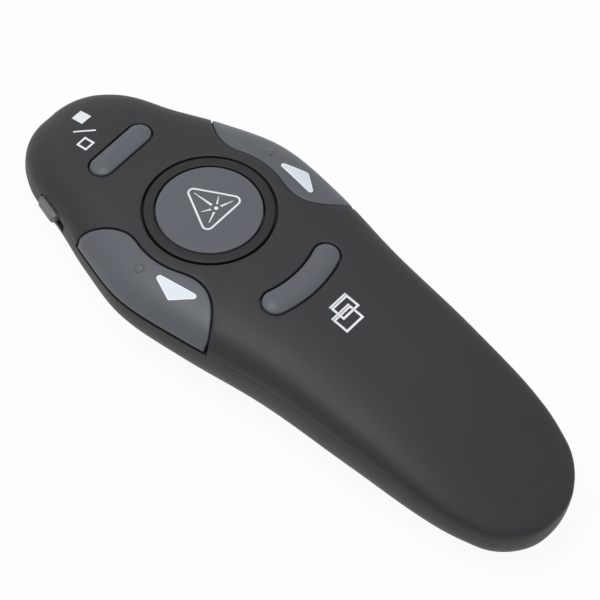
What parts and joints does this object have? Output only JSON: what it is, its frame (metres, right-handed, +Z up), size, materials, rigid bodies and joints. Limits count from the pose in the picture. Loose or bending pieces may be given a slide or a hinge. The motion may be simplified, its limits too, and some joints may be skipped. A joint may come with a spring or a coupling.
{
  "type": "wireless presentation clicker",
  "caption": "Palm-sized teardrop presentation clicker with a round laser key, wing-shaped side keys, two narrow keys, an edge slider, battery door and docked receiver",
  "frame": {"origin": "on the surface the clicker lies on, under the middle of the housing", "axes": "+Y to the nose with the laser, +X to the holder's right, +Z up out of the key side"},
  "size_m": [0.0468, 0.1278, 0.0231],
  "materials": {
    "housing": "soft-touch black coat",
    "keys": "satin bluish grey",
    "slider": "satin light grey",
    "black_plastic": "fine texture",
    "white_plastic": "plain",
    "steel": "bright plated",
    "brass": "plain",
    "board": "green solder mask",
    "ceramic": "plain",
    "lens": "polished",
    "cell_jacket": "plain printed jacket"
  },
  "bodies": {
    "case": {"upper_shell": "housing", "lower_shell": "housing", "ring_bezel": "housing", "key_switches": "steel", "main_board": "board", "radio_chip": "black_plastic", "crystal_can": "steel", "chip_parts": "ceramic", "power_switch": "steel", "laser_barrel": "brass", "laser_diode": "brass", "laser_lens": "lens", "laser_bezel": "black_plastic", "diode_leads": "brass", "left_cell": "cell_jacket", "right_cell": "cell_jacket", "contact_springs": "steel", "contact_plates": "steel", "bridge_contact": "steel", "case_screws": "steel", "board_screws": "steel"},
    "laser_key": {"laser_button": "keys", "laser_plunger": "black_plastic"},
    "previous_key": {"previous_button": "keys", "previous_plunger": "black_plastic"},
    "next_key": {"next_button": "keys", "next_plunger": "black_plastic"},
    "blank_screen_key": {"blank_screen_button": "keys", "blank_screen_plunger": "black_plastic"},
    "window_key": {"window_button": "keys", "window_plunger": "black_plastic"},
    "power": {"power_slider": "slider", "power_lever": "white_plastic"},
    "door": {"battery_door": "housing"},
    "receiver": {"receiver_cap": "black_plastic", "usb_shield": "steel", "usb_tongue": "black_plastic", "usb_contacts": "brass", "receiver_board": "board"}
  },
  "joints": [
    {"name": "laser_press", "type": "slide", "parent": "case", "child": "laser_key", "axis": [0, 0, -1], "range_m": [0, 0.0004], "stiffness_N_per_m": 1500, "springref_m": -0.0004},
    {"name": "previous_press", "type": "slide", "parent": "case", "child": "previous_key", "axis": [0, 0, -1], "range_m": [0, 0.0004], "stiffness_N_per_m": 1500, "springref_m": -0.0004},
    {"name": "next_press", "type": "slide", "parent": "case", "child": "next_key", "axis": [0, 0, -1], "range_m": [0, 0.0004], "stiffness_N_per_m": 1500, "springref_m": -0.0004},
    {"name": "blank_screen_press", "type": "slide", "parent": "case", "child": "blank_screen_key", "axis": [0, 0, -1], "range_m": [0, 0.0004], "stiffness_N_per_m": 1500, "springref_m": -0.0004},
    {"name": "window_press", "type": "slide", "parent": "case", "child": "window_key", "axis": [0, 0, -1], "range_m": [0, 0.0004], "stiffness_N_per_m": 1500, "springref_m": -0.0004},
    {"name": "power_slide", "type": "slide", "parent": "case", "child": "power", "axis": [-0.2616, -0.9652, 0], "range_m": [0, 0.0024]},
    {"name": "door_swing", "type": "hinge", "parent": "case", "child": "door", "pos_m": [0, -0.05255, 0.00075], "axis": [-1, 0, 0], "range_deg": [0, 75]},
    {"name": "receiver_slide", "type": "slide", "parent": "case", "child": "receiver", "axis": [0, 0, -1], "range_m": [0, 0.008]}
  ]
}
